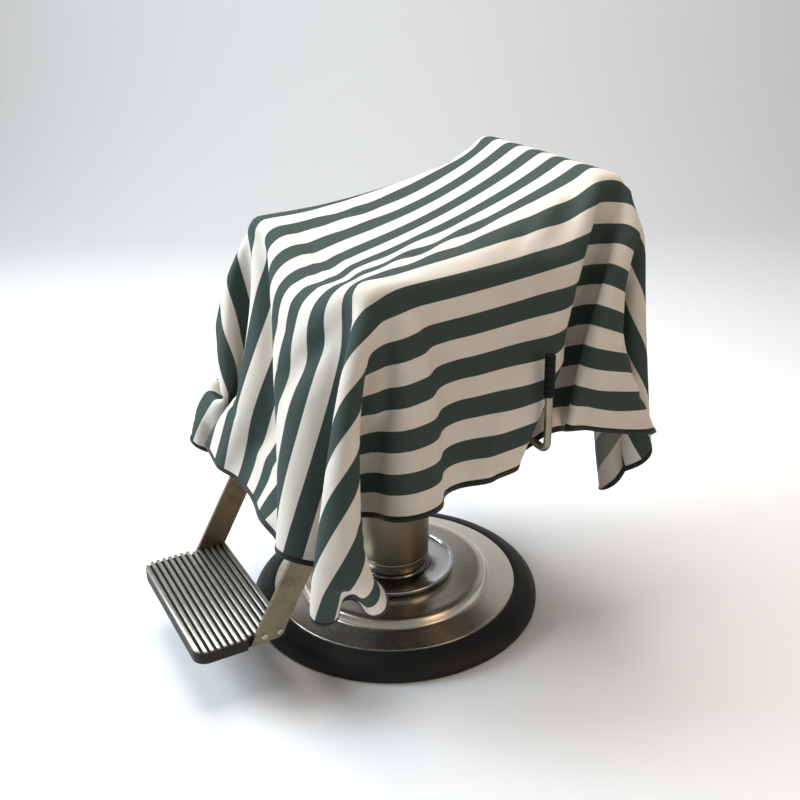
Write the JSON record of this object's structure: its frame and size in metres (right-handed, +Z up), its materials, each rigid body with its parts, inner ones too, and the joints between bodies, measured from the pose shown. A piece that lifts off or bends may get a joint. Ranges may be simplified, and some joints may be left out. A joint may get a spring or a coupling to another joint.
{
  "type": "barber cape on a barber chair",
  "caption": "Striped barber cape with black binding, draped over a hydraulic barber chair with a round base, ribbed footrest and hand lever.",
  "frame": {"origin": "centre of the round base's underside, on the floor", "axes": "+Z up; the sitter faces -Y; +X is the sitter's left, where the hand lever is"},
  "size_m": [0.7496, 1.0062, 0.991],
  "materials": {
    "base_rubber": "moulded black rubber, satin",
    "base_steel": "spun steel, satin",
    "collar_chrome": "polished",
    "column_steel": "brushed",
    "rod_chrome": "polished",
    "bearing_steel": "ground",
    "black_paint": "satin powder coat",
    "seat_wood": "plain birch plywood",
    "black_vinyl": "grained black vinyl over foam",
    "footrest_aluminium": "cast and ground, worn dark in the grooves",
    "footrest_bar": "brushed along its length",
    "fastener_steel": "plated",
    "lever_steel": "polished",
    "grip_rubber": "smooth black rubber",
    "cape_cloth": "woven stripes of dark green and cream with a soft sheen",
    "cape_tape": "black woven tape"
  },
  "bodies": {
    "base": {"floor_plate": "black_paint", "base_rim": "base_rubber", "base_plate": "base_steel", "collar_flange": "collar_chrome", "pump_column": "column_steel"},
    "lift": {"piston_rod": "rod_chrome", "lift_sleeve": "column_steel", "lift_head": "black_paint", "swivel_bearing": "bearing_steel"},
    "seat": {"swivel_plate": "black_paint", "seat_board": "seat_wood", "seat_cushion": "black_vinyl", "cross_bar_front": "black_paint", "cross_bar_rear": "black_paint", "footrest_plate": "footrest_aluminium", "calf_pad": "black_vinyl", "lever_boss": "black_paint", "cape_top_front": "cape_cloth", "cape_front": "cape_cloth", "cape_binding_front": "cape_tape", "seat_rail_left": "black_paint", "seat_rail_right": "black_paint", "arm_panel_left": "black_vinyl", "arm_panel_right": "black_vinyl", "arm_pad_left": "black_vinyl", "arm_pad_right": "black_vinyl", "arm_stud_left": "fastener_steel", "arm_stud_right": "fastener_steel", "footrest_arm_left": "footrest_bar", "footrest_arm_right": "footrest_bar", "footrest_bolt_left": "fastener_steel", "footrest_bolt_right": "fastener_steel", "recline_pin_left": "fastener_steel", "recline_pin_right": "fastener_steel", "cape_side_left": "cape_cloth", "cape_side_right": "cape_cloth", "cape_binding_left": "cape_tape", "cape_binding_right": "cape_tape", "cape_corner_front_left": "cape_cloth", "cape_corner_front_right": "cape_cloth", "footrest_screw_left_front": "fastener_steel", "footrest_screw_left_rear": "fastener_steel", "footrest_screw_right_front": "fastener_steel", "footrest_screw_right_rear": "fastener_steel"},
    "lever": {"lever_bar": "lever_steel", "lever_grip": "grip_rubber"},
    "backrest": {"back_board": "seat_wood", "back_cushion": "black_vinyl", "cape_top_rear": "cape_cloth", "cape_rear": "cape_cloth", "cape_neckband": "cape_tape", "back_bracket_left": "black_paint", "back_bracket_right": "black_paint", "cape_rear_side_left": "cape_cloth", "cape_rear_side_right": "cape_cloth", "cape_corner_rear_left": "cape_cloth", "cape_corner_rear_right": "cape_cloth", "neck_snap_left": "fastener_steel", "neck_snap_right": "fastener_steel"}
  },
  "joints": [
    {"name": "lift_slide", "type": "slide", "parent": "base", "child": "lift", "axis": [0, 0, 1], "range_m": [0, 0.16]},
    {"name": "seat_swivel", "type": "hinge", "parent": "lift", "child": "seat", "pos_m": [0, 0, 0.4], "axis": [0, 0, 1], "continuous": true},
    {"name": "back_recline", "type": "hinge", "parent": "seat", "child": "backrest", "pos_m": [0, 0.24, 0.4779], "axis": [-1, 0, 0], "range_deg": [0, 45]},
    {"name": "lever_pivot", "type": "hinge", "parent": "seat", "child": "lever", "pos_m": [0.25, 0.165, 0.4899], "axis": [1, 0, 0], "range_deg": [-20, 25]}
  ]
}
